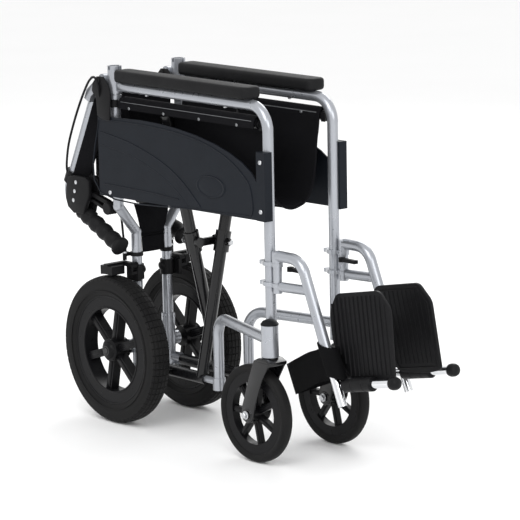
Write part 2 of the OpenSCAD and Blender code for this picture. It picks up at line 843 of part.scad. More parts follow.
cloth_t = 3.5;
seat_drop = 190;
seat_y1 = rail_y0 - 10;
seat_y0 = rail_y1 + 12;

module seat_cloth() color(black)
    translate([post_x, 0, rail_z])
        rotate([0, brace_a, 0])
            translate([-max(tube_r, brace_r) - 1 - cloth_t, seat_y0, -seat_drop])
                cube([cloth_t, seat_y1 - seat_y0, seat_drop + 8]);

back_z0 = 552;
back_z1 = 698;
back_out = 52;
back_deep = 92;

// Side part of the lower back cloth, folded back between the canes
module back_lower() color(black) {
    turn = atan(back_out / back_deep);
    difference() {
        translate([post_x - 25, rear_post_y + 28, 0])
            rotate([0, 0, turn])
                block(-cloth_t, 0, 0, norm([back_out, back_deep]), back_z0, back_z1);
        on_cane(0, cane_off - tube_r - 2)
            translate([-200, 0, -500])
                cube([400, 200, 800]);
    }
}

// Middle part of the upper back cloth, gathered between the canes
module back_upper() color(black)
    on_cane(0, cane_off)
        translate([-post_x + 5, -2, -cane_l + 52])
            cube([post_x - tube_r - 12, 4, cane_l - 52 - 64]);

right() rear_post();  // rear_post_right
left() rear_post();  // rear_post_left
right() front_frame();  // front_frame_right
left() front_frame();  // front_frame_left
right() arm_pad();  // arm_pad_right
left() arm_pad();  // arm_pad_left
right() side_panel();  // side_panel_right
left() side_panel();  // side_panel_left
right() cane();  // cane_right
left() cane();  // cane_left
right() grip();  // grip_right
left() grip();  // grip_left
right() brake_mount();  // brake_mount_right
left() brake_mount();  // brake_mount_left
right() brake_lever();  // brake_lever_right
left() brake_lever();  // brake_lever_left
right() brake_cable_upper();  // brake_cable_upper_right
left() brake_cable_upper();  // brake_cable_upper_left
right() brake_cable_lower();  // brake_cable_lower_right
left() brake_cable_lower();  // brake_cable_lower_left
right() brake_bracket();  // brake_bracket_right
left() brake_bracket();  // brake_bracket_left
right() brake_shoe();  // brake_shoe_right
left() brake_shoe();  // brake_shoe_left
right() rear_wheel();  // rear_wheel_right
left() rear_wheel();  // rear_wheel_left
right() rear_tyre();  // rear_tyre_right
left() rear_tyre();  // rear_tyre_left
right() rear_axle();  // rear_axle_right
left() rear_axle();  // rear_axle_left
right() caster_fork();  // caster_fork_right
left() caster_fork();  // caster_fork_left
right() caster_wheel();  // caster_wheel_right
left() caster_wheel();  // caster_wheel_left
right() caster_tyre();  // caster_tyre_right
left() caster_tyre();  // caster_tyre_left
right() hanger();  // hanger_right
left() hanger();  // hanger_left
right() hanger_latch();  // hanger_latch_right
left() hanger_latch();  // hanger_latch_left
right() leg_tube();  // leg_tube_right
left() leg_tube();  // leg_tube_left
right() footplate();  // footplate_right
left() footplate();  // footplate_left
right() calf_strap();  // calf_strap_right
left() calf_strap();  // calf_strap_left
left() brace_arm(brace_right_y);  // cross_arm_right
right() brace_arm(brace_left_y);  // cross_arm_left
cross_link();
right() seat_rail();  // seat_rail_right
left() seat_rail();  // seat_rail_left
right() rail_guides();  // rail_guides_right
left() rail_guides();  // rail_guides_left
right() seat_cloth();  // seat_cloth_right
left() seat_cloth();  // seat_cloth_left
right() back_lower();  // back_lower_right
left() back_lower();  // back_lower_left
right() back_upper();  // back_upper_right
left() back_upper();  // back_upper_left
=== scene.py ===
import math

import bmesh
import bpy
from mathutils import Matrix, Vector


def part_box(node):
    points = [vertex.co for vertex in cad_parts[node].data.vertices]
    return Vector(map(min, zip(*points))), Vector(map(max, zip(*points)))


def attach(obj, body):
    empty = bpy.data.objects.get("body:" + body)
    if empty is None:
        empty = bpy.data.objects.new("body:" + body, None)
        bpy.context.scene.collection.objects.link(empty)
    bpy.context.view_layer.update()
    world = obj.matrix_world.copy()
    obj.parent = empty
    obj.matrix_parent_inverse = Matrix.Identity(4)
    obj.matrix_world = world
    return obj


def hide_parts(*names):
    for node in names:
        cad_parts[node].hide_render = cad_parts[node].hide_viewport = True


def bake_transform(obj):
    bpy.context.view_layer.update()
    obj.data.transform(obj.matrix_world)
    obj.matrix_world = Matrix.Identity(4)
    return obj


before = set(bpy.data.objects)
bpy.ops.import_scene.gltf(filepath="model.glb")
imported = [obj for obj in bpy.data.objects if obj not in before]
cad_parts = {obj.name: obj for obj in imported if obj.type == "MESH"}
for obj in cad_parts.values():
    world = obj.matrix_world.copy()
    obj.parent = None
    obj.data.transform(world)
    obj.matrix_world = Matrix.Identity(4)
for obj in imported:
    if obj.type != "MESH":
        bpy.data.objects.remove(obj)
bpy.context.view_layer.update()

SIDES = {"left": 1, "right": -1}


def middle(node):
    lo, hi = (Vector(v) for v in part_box(node))
    return (lo + hi) / 2


POST = middle("seat_rail_left").x
POST_MM = POST * 1000
AXLE = middle("rear_axle_left")
AXLE_Y = AXLE.y
HUB = Vector((middle("rear_wheel_left").x, AXLE_Y, AXLE.z))
CASTER = middle("caster_tyre_left")
CANE_TILT = math.radians(25.8)
BACK_PIVOT = (20, 728)


def mm(x, y, z):
    """A point from millimetres off the rear axle's ground point."""
    return Vector((x / 1000, AXLE_Y + y / 1000, z / 1000))


# ---- Camera and light ----


LENS_MM, SENSOR_MM = 198, 36
CAMERA_ANGLES = (-40.55, 11.04, -1.12)
CAMERA_PLACE = (-3703.7, -4685.9, 1494.4)


def set_camera():
    camera = bpy.data.objects.new("camera", bpy.data.cameras.new("camera"))
    bpy.context.scene.collection.objects.link(camera)
    turn, rise, roll = (math.radians(v) for v in CAMERA_ANGLES)
    back = Vector((math.sin(turn) * math.cos(rise), -math.cos(turn) * math.cos(rise), math.sin(rise)))
    right = Vector((math.cos(turn), math.sin(turn), 0))
    up = back.cross(right)
    across = right * math.cos(roll) + up * math.sin(roll)
    above = -right * math.sin(roll) + up * math.cos(roll)
    pose = Matrix((across, above, back)).transposed().to_4x4()
    pose.translation = mm(*CAMERA_PLACE)
    camera.matrix_world = pose
    camera.data.lens = LENS_MM
    camera.data.sensor_width = SENSOR_MM
    camera.data.clip_end = 100
    bpy.context.scene.camera = camera


def soft_lamp(name, place, aim, size, power):
    lamp = bpy.data.objects.new(name, bpy.data.lights.new(name, "AREA"))
    bpy.context.scene.collection.objects.link(lamp)
    lamp.data.shape = "RECTANGLE"
    lamp.data.size, lamp.data.size_y = size
    lamp.data.energy = power
    lamp.location = place
    lamp.rotation_euler = (Vector(aim) - Vector(place)).to_track_quat("-Z", "Y").to_euler()


set_camera()
soft_lamp("key_lamp", (-2.6, -1.6, 3.4), (0, 0, 0.4), (2.6, 2.6), 70)
soft_lamp("front_lamp", (-1.0, -4.2, 2.2), (0, 0, 0.35), (2.8, 2.0), 45)
soft_lamp("rim_lamp", (2.8, 1.6, 2.6), (0, 0, 0.4), (2.2, 2.2), 40)
world = bpy.data.worlds.new("studio")
bpy.context.scene.world = world
world.use_nodes = True
world.node_tree.nodes["Background"].inputs["Color"].default_value = (1, 1, 1, 1)
world.node_tree.nodes["Background"].inputs["Strength"].default_value = 1.0
bpy.context.scene.view_settings.view_transform = "Standard"


# ---- Finishes ----


class Wire:
    """A shader value with sums written as Python."""

    def __init__(self, finish, socket):
        self.finish, self.socket = finish, socket

    def sum(self, operation, other, swap=False):
        pair = (other, self) if swap else (self, other)
        return self.finish.node("ShaderNodeMath", {"operation": operation}, {0: pair[0], 1: pair[1]})

    def __add__(self, other):
        return self.sum("ADD", other)

    def __sub__(self, other):
        return self.sum("SUBTRACT", other)

    def __rsub__(self, other):
        return self.sum("SUBTRACT", other, True)

    def __mul__(self, other):
        return self.sum("MULTIPLY", other)

    def __pow__(self, other):
        return self.sum("POWER", other)

    __radd__, __rmul__ = __add__, __mul__


class Finish:
    """One material and the nodes that feed its Principled shader."""

    def __init__(self, name):
        self.material = bpy.data.materials.new(name)
        self.material.use_nodes = True
        self.tree = self.material.node_tree
        self.surface = self.tree.nodes["Principled BSDF"]

    def node(self, kind, settings=None, inputs=None, output=0):
        made = self.tree.nodes.new(kind)
        for key, value in (settings or {}).items():
            if key == "stops":
                ramp = made.color_ramp.elements
                for i, (place, colour) in enumerate(value):
                    stop = ramp[i] if i < 2 else ramp.new(place)
                    stop.position, stop.color = place, (*colour, 1)
            else:
                setattr(made, key, value)
        for key, value in (inputs or {}).items():
            self.join(value, made.inputs[key])
        return Wire(self, made.outputs[output])

    def join(self, value, socket):
        if isinstance(value, Wire):
            self.tree.links.new(value.socket, socket)
        elif isinstance(value, (tuple, list)) and len(value) == 3 and socket.type == "RGBA":
            socket.default_value = (*value, 1)
        else:
            socket.default_value = value

    def set(self, **values):
        for key, value in values.items():
            self.join(value, self.surface.inputs[key.replace("_", " ")])

    def place(self, scale=(1, 1, 1)):
        where = self.node("ShaderNodeTexCoord", output=3)
        return self.node("ShaderNodeMapping", None, {"Vector": where, "Scale": scale})

    def noise(self, scale, detail=3, rough=0.5, stretch=(1, 1, 1)):
        return self.node("ShaderNodeTexNoise", None,
                         {"Vector": self.place(stretch), "Scale": scale,
                          "Detail": detail, "Roughness": rough})

    def ribs(self, scale, direction, stretch=(1, 1, 1)):
        return self.node("ShaderNodeTexWave", {"bands_direction": direction},
                         {"Vector": self.place(stretch), "Scale": scale,
                          "Distortion": 0.4, "Detail": 1.0, "Detail Scale": 2.0}, output=1)

    def blend(self, amount, first, second):
        return self.node("ShaderNodeMix", {"data_type": "RGBA"},
                         {0: amount, 6: first, 7: second}, output=2)

    def bump(self, height, strength, depth):
        self.set(Normal=self.node("ShaderNodeBump", None,
                                  {"Height": height, "Strength": strength, "Distance": depth}))


def coloured(finish, dark, light, scale):
    """A colour that drifts between two close tones."""
    return finish.blend(finish.noise(scale, 4), dark, light)


def powder_coat():
    f = Finish("silver_powder_coat")
    f.set(Base_Color=coloured(f, (0.33, 0.345, 0.375), (0.39, 0.405, 0.435), 10),
          Roughness=f.noise(60, 3) * 0.10 + 0.24, Metallic=0.7)
    f.set(Coat_Weight=0.35, Coat_Roughness=0.12)
    f.bump(f.noise(900, 2), 0.05, 0.0002)
    return f.material


def gloss_enamel():
    f = Finish("gloss_black_enamel")
    f.set(Base_Color=coloured(f, (0.004, 0.004, 0.0045), (0.008, 0.008, 0.009), 20),
          Roughness=f.noise(45, 3) * 0.12 + 0.16)
    f.set(Coat_Weight=0.25, Coat_Roughness=0.08, Specular_IOR_Level=0.3)
    f.bump(f.noise(500, 2), 0.08, 0.0003)
    return f.material


def moulded(name, dark, light, rough, grain=1400, strength=0.25):
    f = Finish(name)
    f.set(Base_Color=coloured(f, dark, light, 18), Roughness=f.noise(90, 4) * 0.16 + rough)
    f.set(Specular_IOR_Level=0.11)
    f.bump(f.noise(grain, 2, 0.6), strength, 0.0004)
    return f.material


def tyre_rubber():
    f = Finish("tyre_rubber")
    dust = f.noise(12, 5, 0.6)
    f.set(Base_Color=f.blend(dust ** 2.0, (0.005, 0.005, 0.0055), (0.016, 0.0155, 0.015)),
          Roughness=dust * 0.2 + 0.50)
    f.set(Specular_IOR_Level=0.13)
    f.bump(f.noise(600, 4, 0.6), 0.3, 0.0006)
    return f.material


def woven(name, dark, light, threads=900, rough=0.72, strength=0.55):
    """Plain weave: two sets of ribs, crossed, over slow fading."""
    f = Finish(name)
    warp = f.ribs(threads, "Z")
    weft = f.ribs(threads, "DIAGONAL", (1, 1, 0.001))
    weave = f.node("ShaderNodeMath", {"operation": "MAXIMUM"}, {0: warp, 1: weft})
    tone = f.blend(f.noise(9, 4), dark, light)
    shaded = f.blend(weave * 0.5 + 0.25, tuple(c * 0.6 for c in dark), tone)
    f.set(Base_Color=shaded, Roughness=f.noise(30, 3) * 0.12 + rough)
    f.set(Specular_IOR_Level=0.05)
    f.bump(weave + f.noise(40, 3) * 0.6, strength, 0.0006)
    return f.material


def bright(name, tone, rough, brush=0.1):
    f = Finish(name)
    f.set(Base_Color=coloured(f, tuple(c * 0.88 for c in tone), tone, 30),
          Roughness=f.noise(120, 4, 0.6, (1, 1, 6)) * brush + rough, Metallic=1.0)
    f.bump(f.noise(260, 3, 0.6, (1, 1, 8)), 0.06, 0.0003)
    return f.material


def paint_floor():
    f = Finish("pale_floor")
    f.set(Base_Color=coloured(f, (0.93, 0.93, 0.93), (0.96, 0.96, 0.96), 2), Roughness=0.65)
    return f.material


SILVER = powder_coat()
ENAMEL = gloss_enamel()
PLASTIC = moulded("satin_black_plastic", (0.005, 0.005, 0.0055), (0.010, 0.010, 0.011), 0.34)
WHEEL = moulded("wheel_moulding", (0.004, 0.004, 0.0045), (0.008, 0.008, 0.009), 0.22, 700, 0.12)
SLATE = moulded("slate_panel", (0.006, 0.0075, 0.011), (0.009, 0.0115, 0.016), 0.36, 1600, 0.35)
FOAM = moulded("skinned_foam", (0.006, 0.006, 0.0065), (0.012, 0.012, 0.013), 0.46, 900, 0.45)
RUBBER = tyre_rubber()
CLOTH = woven("seat_nylon", (0.005, 0.005, 0.006), (0.012, 0.012, 0.014))
WEBBING = woven("strap_webbing", (0.004, 0.004, 0.0045), (0.010, 0.010, 0.011), 520, 0.68, 0.8)
CHROME = bright("chrome_plate", (0.82, 0.83, 0.85), 0.06)
STEEL = bright("zinc_bolt", (0.62, 0.63, 0.65), 0.24, 0.2)
DARK_STEEL = bright("dull_zinc", (0.30, 0.31, 0.32), 0.30, 0.2)

NODE_FINISH = [
    ("rear_post front_frame cane hanger", SILVER), ("side_panel", SLATE),
    ("brake_mount brake_lever brake_bracket brake_shoe hanger_latch rail_guides footplate", PLASTIC),
    ("rear_wheel caster_wheel", WHEEL), ("caster_tyre", RUBBER), ("leg_tube", CHROME),
    ("caster_fork cross_arm cross_link seat_rail rear_axle", ENAMEL),
]
for stems, material in NODE_FINISH:
    for stem in stems.split():
        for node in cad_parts:
            if node == stem or node in (f"{stem}_left", f"{stem}_right"):
                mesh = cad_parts[node].data
                mesh.materials.clear()
                mesh.materials.append(material)


# ---- Piece building ----

WELD = 2e-6
RIM_ANGLE = 1.2


def shade(bm, limit=35):
    for face in bm.faces:
        face.smooth = True
    for edge in bm.edges:
        edge.smooth = len(edge.link_faces) == 2 and edge.calc_face_angle(0) < math.radians(limit)


def piece(name, bm, material, body, limit=35):
    shade(bm, limit)
    mesh = bpy.data.meshes.new(name)
    bm.to_mesh(mesh)
    bm.free()
    made = bpy.data.objects.new(name, mesh)
    bpy.context.scene.collection.objects.link(made)
    mesh.materials.append(material)
    if body:
        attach(made, body)
    return made


def paired(name, build, material, body, slot, limit=35, **extra):
    """Builds the left piece and its mirror, each riding its own side's body."""
    made = {}
    for side, sign in SIDES.items():
        bm = bmesh.new()
        build(bm, **extra)
        if sign < 0:
            bmesh.ops.scale(bm, vec=(-1, 1, 1), verts=bm.verts)
            bmesh.ops.reverse_faces(bm, faces=bm.faces)
        made[side] = piece(f"{name}_{side}", bm, material, body and body.format(side), limit)
    return made


def pour(made, bm):
    """Adds one bmesh to another and frees the first."""
    keep = bpy.data.meshes.new("poured")
    made.to_mesh(keep)
    made.free()
    bm.from_mesh(keep)
    bpy.data.meshes.remove(keep)


def push(bm, face, shift):
    """Extrudes one face along shift."""
    grown = bmesh.ops.extrude_face_region(bm, geom=[face])
    bmesh.ops.translate(bm, vec=shift, verts=[g for g in grown["geom"] if isinstance(g, bmesh.types.BMVert)])


def round_edges(bm, edges, offset, segments):
    bmesh.ops.bevel(bm, geom=edges, offset=offset, segments=segments, profile=0.5,
                    affect="EDGES", material=-1)


def sharp_edges(bm, angle):
    return [e for e in bm.edges if len(e.link_faces) == 2 and e.calc_face_angle(0) > angle]


def share(value):
    """Kept between 0 and 1."""
    return max(0.0, min(1.0, value))


def ring(radius, along, wide, high):
    """A closed eight-point oval section for turned()."""
    return [(radius + wide * math.cos(t), along + high * math.sin(t))
            for t in [k * math.pi / 4 for k in range(8)] + [0]]


def turned(bm, outline, centre, axis, steps=48):
    """Spins (radius, along) points round an axis; a radius of 0 closes on the axis."""
    axis = Vector(axis).normalized()
    side = axis.orthogonal().normalized()
    verts = [bm.verts.new(Vector(centre) + side * r / 1000 + axis * a / 1000) for r, a in outline]
    edges = [bm.edges.new(pair) for pair in zip(verts, verts[1:])]
    bmesh.ops.spin(bm, geom=verts + edges, cent=centre, axis=axis, angle=2 * math.pi,
                   steps=steps, use_merge=True)
    bmesh.ops.remove_doubles(bm, verts=bm.verts[:], dist=WELD)
    bmesh.ops.recalc_face_normals(bm, faces=bm.faces)


def bar(bm, lo, hi, bevel):
    """A bevelled block between two corners."""
    lo, hi = Vector(lo), Vector(hi)
    size = [abs(b - a) for a, b in zip(lo, hi)]
    place = Matrix.Translation((lo + hi) / 2) @ Matrix.Diagonal((*size, 1))
    made = bmesh.ops.create_cube(bm, size=1, matrix=place)
    round_edges(bm, list({e for v in made["verts"] for e in v.link_edges}), bevel / 1000, 2)


def slab(bm, points, shift, bevel):
    """A flat outline pushed along shift, with every edge rounded."""
    made = bmesh.new()
    push(made, made.faces.new([made.verts.new(p) for p in points]), shift)
    bmesh.ops.recalc_face_normals(made, faces=made.faces)
    round_edges(made, sharp_edges(made, RIM_ANGLE), bevel / 1000, 3)
    bmesh.ops.triangulate(made, faces=[f for f in made.faces if len(f.verts) > 4])
    pour(made, bm)


def swept(bm, points, radius, sides=12, closed=False):
    """A round section carried along points, with closed ends."""
    last = None
    rings = []
    n = len(points)
    for i, p in enumerate(points):
        before, after = i - 1, i + 1
        if closed:
            before, after = before % n, after % n
        else:
            before, after = max(before, 0), min(after, n - 1)
        along = (points[after] - points[before]).normalized()
        side = along.orthogonal() if last is None else last - along * last.dot(along)
        side.normalize()
        last = side
        turn = Matrix((side, along.cross(side), along)).transposed().to_4x4()
        made = bmesh.ops.create_circle(bm, cap_ends=False, segments=sides, radius=radius,
                                       matrix=Matrix.Translation(p) @ turn)
        rings.append(made["verts"])
    pairs = list(zip(rings, rings[1:])) + ([(rings[-1], rings[0])] if closed else [])
    for a, b in pairs:
        edges = [e for e in {e for v in a + b for e in v.link_edges}
                 if (e.verts[0] in a and e.verts[1] in a) or (e.verts[0] in b and e.verts[1] in b)]
        bmesh.ops.bridge_loops(bm, edges=edges)
    if not closed:
        for ring in (rings[0], rings[-1]):
            bm.faces.new(ring)
    bmesh.ops.recalc_face_normals(bm, faces=bm.faces)


def curve_point(points, i, t):
    """The Catmull-Rom point a share t of the way from points[i] to the next."""
    a, b, c, d = (points[max(0, min(len(points) - 1, i + k))] for k in (-1, 0, 1, 2))
    return 0.5 * (2 * b + (c - a) * t + (2 * a - 5 * b + 4 * c - d) * t ** 2
                  + (3 * b - a - 3 * c + d) * t ** 3)


def smooth_path(points, each=6):
    """Catmull-Rom points through the given ones."""
    steps = [(i, k / each) for i in range(len(points) - 1) for k in range(each)]
    return [curve_point(points, i, t) for i, t in steps] + [points[-1]]


def screw(bm, place, axis, radius=4.5, height=2.6, hexed=True):
    """A screw or bolt head: a hex head, or a round head with a sunk drive."""
    if hexed:
        rim = [(0, -0.5), (radius, -0.5), (radius, height * 0.75), (radius * 0.86, height), (0, height)]
        turned(bm, rim, place, axis, 6)
    else:
        turned(bm, [(0, -0.5), (radius, -0.5), (radius, height * 0.35), (radius * 0.85, height * 0.75),
                    (radius * 0.45, height), (radius * 0.4, height * 0.45), (0, height * 0.45)], place, axis, 20)


# ---- Wheels ----

TYRE_STEPS = 66
TREAD_FROM = 0.1500
RIB_START = 12


def rear_tyre(bm):
    """Tyre with raised tread blocks and a bead round each wall."""
    section = [(117, -18), (121, -21), (130, -23.4), (140, -23.6), (148, -21.6), (153.5, -17.5),
               (155.4, -9), (156, 0), (155.4, 9), (153.5, 17.5), (148, 21.6), (140, 23.6),
               (130, 23.4), (121, 21), (117, 18), (117, -18)]
    turned(bm, section, HUB, (1, 0, 0), TYRE_STEPS)
    offsets = [(f, f.calc_center_median() - HUB) for f in bm.faces]
    tread = [f for f, off in offsets if math.hypot(off.y, off.z) > TREAD_FROM]
    bmesh.ops.inset_individual(bm, faces=tread, thickness=0.0016, depth=0.0017)
    for along in (24, -24):
        turned(bm, ring(127, along, 1.2, 0.9), HUB, (1, 0, 0), TYRE_STEPS)


def rear_hub(bm):
    turned(bm, [(0, 30), (6, 29.8), (13, 28.2), (17, 25.4), (18.5, 22), (22, 21.4),
                (24, 19.5), (24, 17.5), (0, 17.5)], HUB, (1, 0, 0), 48)
    for face in (1, -1):
        for radius in (115.2, 90.5):
            turned(bm, ring(radius, face * 17, 2.2, 1.5), HUB, (1, 0, 0), 72)


def spoke_ribs(bm, centre, count, inner, outer, half, width):
    """A raised rib down the middle of each spoke, both faces."""
    for k in range(count):
        for face in (1, -1):
            made = bmesh.new()
            bar(made, (face * half - 0.0012, -width, inner), (face * half + 0.0016, width, outer), 1.1)
            turn = Matrix.Rotation(math.radians(RIB_START) + 2 * math.pi * k / count, 3, "X")
            bmesh.ops.rotate(made, cent=(0, 0, 0), matrix=turn, verts=made.verts)
            bmesh.ops.translate(made, vec=centre, verts=made.verts)
            pour(made, bm)


def rear_ribs(bm):
    spoke_ribs(bm, HUB, 6, 0.025, 0.088, 0.0102, 0.0045)


def caster_ribs(bm):
    spoke_ribs(bm, CASTER, 7, 0.019, 0.062, 0.0054, 0.0030)


def caster_tyre(bm):
    section = [(84.5, -10), (88, -11.6), (93, -12.6), (96.5, -11.4), (99, -7.5), (99.9, -3),
               (99.9, 3), (99, 7.5), (96.5, 11.4), (93, 12.6), (88, 11.6), (84.5, 10),
               (83.2, 9.6), (83.2, -9.6), (84.5, -10)]
    turned(bm, section, CASTER, (1, 0, 0), 72)


def caster_bolts(bm):
    for face in (1, -1):
        screw(bm, CASTER + Vector((face * 0.0305, 0, 0)), (face, 0, 0), 6.5, 4.5)
        screw(bm, CASTER + Vector((face * 0.0285, 0, 0)), (face, 0, 0), 8.6, 1.6, False)


def barrel_cap(bm):
    turned(bm, [(0, 9), (8, 8.2), (14, 5.6), (17, 1.2), (18.2, 0.6), (18.2, -2.4), (15, -3), (0, -3)],
           mm(104, -504, 289.4), (0, 0, 1), 40)


def axle_nuts(bm):
    screw(bm, mm(17.5, 0, 157.5), (-1, 0, 0), 8.5, 5)


def fork(bm):
    """Crown and two tapering arms of a caster."""
    arm = [(-528, 214), (-520, 202), (-505, 178), (-492, 148), (-481, 120), (-476, 98), (-470, 87),
           (-458, 82), (-446, 87), (-440, 98), (-442, 115), (-450, 136), (-460, 165), (-480, 214)]
    crown = [(-529, 207), (-529, 215), (-516, 221), (-492, 221), (-479, 215), (-479, 207)]
    x = CASTER.x * 1000
    for face in (1, -1):
        slab(bm, [mm(x + face * 19.6, y, z) for y, z in arm], Vector((face * 0.0046, 0, 0)), 1.5)
        turned(bm, [(0, 0), (12, 0), (12.6, 0.8), (11.8, 2.2), (0, 2.4)],
               mm(x + face * 23.6, -458, 100), (face, 0, 0), 32)
    slab(bm, [mm(x - 23, y, z) for y, z in crown], Vector((0.046, 0, 0)), 3.2)
    turned(bm, [(0, 222.6), (15, 222.6), (16.6, 221), (16.8, 216), (0, 216)], mm(x, -504, 0), (0, 0, 1), 40)
    screw(bm, mm(x, -504, 208), (0, 0, -1), 8.5, 5)


tyres = paired("rear_tyre_tread", rear_tyre, RUBBER, "wheel_{}", "tyre", 50)
paired("rear_hub_cap", rear_hub, WHEEL, "wheel_{}", "wheel")
paired("rear_spoke_ribs", rear_ribs, WHEEL, "wheel_{}", "wheel")
soft_casters = paired("caster_tread", caster_tyre, RUBBER, "caster_{}", "tyre", 50)
paired("caster_spoke_ribs", caster_ribs, WHEEL, "caster_{}", "wheel")
paired("caster_axle_bolt", caster_bolts, STEEL, "fork_{}", "chrome")
forks = paired("caster_fork_cast", fork, ENAMEL, "fork_{}", "brace")
paired("barrel_cap", barrel_cap, PLASTIC, "frame_{}", "plastic")
paired("axle_nut", axle_nuts, STEEL, "frame_{}", "chrome")
for side in SIDES:
    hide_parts(f"rear_tyre_{side}")
    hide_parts(f"caster_tyre_{side}")
    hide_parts(f"caster_fork_{side}")


# ---- Armrests and side panels ----


def arm_pad(bm):
    lo, hi = (Vector(v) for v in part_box("arm_pad_left"))
    size = Matrix.Diagonal((*[b - a for a, b in zip(lo, hi)], 1))
    bmesh.ops.create_cube(bm, size=1, matrix=Matrix.Translation((lo + hi) / 2) @ size)
    upright = [e for e in bm.edges if abs((e.verts[0].co - e.verts[1].co).normalized().z) > 0.9]
    round_edges(bm, upright, 0.015, 5)
    round_edges(bm, sharp_edges(bm, 0.9), 0.007, 4)
    bmesh.ops.triangulate(bm, faces=[f for f in bm.faces if len(f.verts) > 4])


def pad_screws(bm):
    for y in (-110, -360):
        screw(bm, mm(POST_MM, y, 705.6), (0, 0, -1), 4, 2.2, False)


def panel_beads(bm):
    """Beading round the panel and along its swoosh, with the band between the two lines."""
    skin = POST + 0.0176 + 0.003
    edge = [(28, 646), (-100, 648), (-200, 645), (-277, 637), (-340, 624), (-392, 605),
            (-430, 582), (-455, 556)]
    low = [(-460, 504), (-420, 498), (-300, 493), (28, 491)]
    rim = [mm(skin * 1000, y, z) for y, z in edge + low]
    swept(bm, smooth_path(rim + [rim[0]], 5)[:-1], 0.0016, 8, True)
    upper = [(24, 620), (-75, 606), (-173, 579), (-236, 549), (-283, 514), (-300, 498)]
    lower = [(24, 594), (-70, 582), (-155, 558), (-212, 532), (-250, 506), (-258, 498)]
    low_line = [(14, 511), (-138, 510), (-230, 506)]
    for line in (upper, lower, low_line):
        swept(bm, smooth_path([mm(skin * 1000, y, z) for y, z in line], 5), 0.0015, 8)
    tops, bases = (smooth_path([mm(skin * 1000 + 1.1, y, z) for y, z in line], 6)
                   for line in (upper, lower))
    for i in range(len(tops) - 1):
        corners = (tops[i], tops[i + 1], bases[i + 1], bases[i])
        push(bm, bm.faces.new([bm.verts.new(p) for p in corners]), (-0.0012, 0, 0))
    bmesh.ops.recalc_face_normals(bm, faces=bm.faces)


def panel_badge(bm):
    """A plain oval boss, left blank."""
    centre = mm((POST + 0.0203) * 1000, -334, 544)
    turned(bm, [(0, 1.3), (12, 1.3), (19, 1.0), (20.5, 0.7), (21.5, 1.9), (23.2, 1.9), (24, 0)],
           centre, (1, 0, 0), 48)
    bmesh.ops.scale(bm, vec=(1, 1.9, 0.95), space=Matrix.Translation(-centre), verts=bm.verts)


def panel_screws(bm):
    x = (POST + 0.0236) * 1000
    for z in (512, 610):
        screw(bm, mm(x, -490, z), (1, 0, 0), 4.6, 2.4, False)
    screw(bm, mm(x - 3.2, -4, 494), (1, 0, 0), 4.6, 2.4, False)


pads = paired("arm_pad_foam", arm_pad, FOAM, "frame_{}", "pad", 50)
for side, pad in pads.items():
    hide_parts(f"arm_pad_{side}")
paired("arm_pad_screws", pad_screws, STEEL, "frame_{}", "chrome")
paired("panel_beads", panel_beads, SLATE, "frame_{}", "panel", 60)
paired("panel_oval", panel_badge, SLATE, "frame_{}", "panel", 60)
paired("panel_screws", panel_screws, STEEL, "frame_{}", "chrome")


# ---- Cloth ----


def draped(bm, across, along, shape, thick=0.0022):
    """A grid laid over shape(u, v) and given a cloth's thickness."""
    bmesh.ops.create_grid(bm, x_segments=across, y_segments=along, size=0.5)
    for vert in bm.verts:
        vert.co = shape(vert.co.x + 0.5, vert.co.y + 0.5)
    bmesh.ops.recalc_face_normals(bm, faces=bm.faces)
    bmesh.ops.solidify(bm, geom=bm.faces[:], thickness=thick)
    bmesh.ops.recalc_face_normals(bm, faces=bm.faces)


def along_line(points, t):
    """The point a share t of the way along a polyline, rounded through its corners."""
    path = smooth_path([Vector((*p, 0)) for p in points], 6)
    lengths = [0.0]
    for a, b in zip(path, path[1:]):
        lengths.append(lengths[-1] + (b - a).length)
    goal = t * lengths[-1]
    for i in range(len(path) - 1):
        if lengths[i + 1] >= goal - 1e-9:
            span = max(lengths[i + 1] - lengths[i], 1e-9)
            return path[i].lerp(path[i + 1], min(1, max(0, (goal - lengths[i]) / span)))
    return path[-1]


def line_length(points):
    path = smooth_path([Vector((*p, 0)) for p in points], 6)
    return sum((b - a).length for a, b in zip(path, path[1:]))


SLING = [(97, 673), (98, 684), (94, 692), (86, 695.2), (78, 692.6), (73, 684), (72.6, 670),
         (70, 650), (67, 634), (64, 604), (61, 574), (52, 536), (35, 512), (16, 504),
         (0, 501.5), (-14, 504), (-24, 508)]
SLING_Y = (-32, -461)
SLING_STEPS = 44


def near_middle(p):
    """How far a point of the sling is into the lap where the two halves cross."""
    return share((46 - p.x) / 30)


def sling(bm, lift):
    line = [along_line(SLING, k / SLING_STEPS) for k in range(SLING_STEPS + 1)]

    def shape(u, v):
        p = line[round(v * SLING_STEPS)]
        y = SLING_Y[0] + (SLING_Y[1] - SLING_Y[0]) * u
        hang = share((660 - p.y) / 120)
        drift = hang * (2.2 * math.sin(u * 9 + v * 4) + 1.3 * math.sin(u * 23 - v * 7))
        sag = hang * 5 * (1 - (2 * u - 1) ** 2)
        return mm(p.x + drift * 0.5, y, p.y + lift * near_middle(p) - sag)

    draped(bm, 40, SLING_STEPS, shape)


def cloth_hem(bm, lift):
    """Rolled hem at the sling's two open ends."""
    line = [along_line(SLING, k / 60) for k in range(6, 61)]
    for y in (SLING_Y[0] - 1, SLING_Y[1] + 1):
        swept(bm, [mm(p.x, y, p.y + lift * near_middle(p)) for p in line], 0.0024, 8)


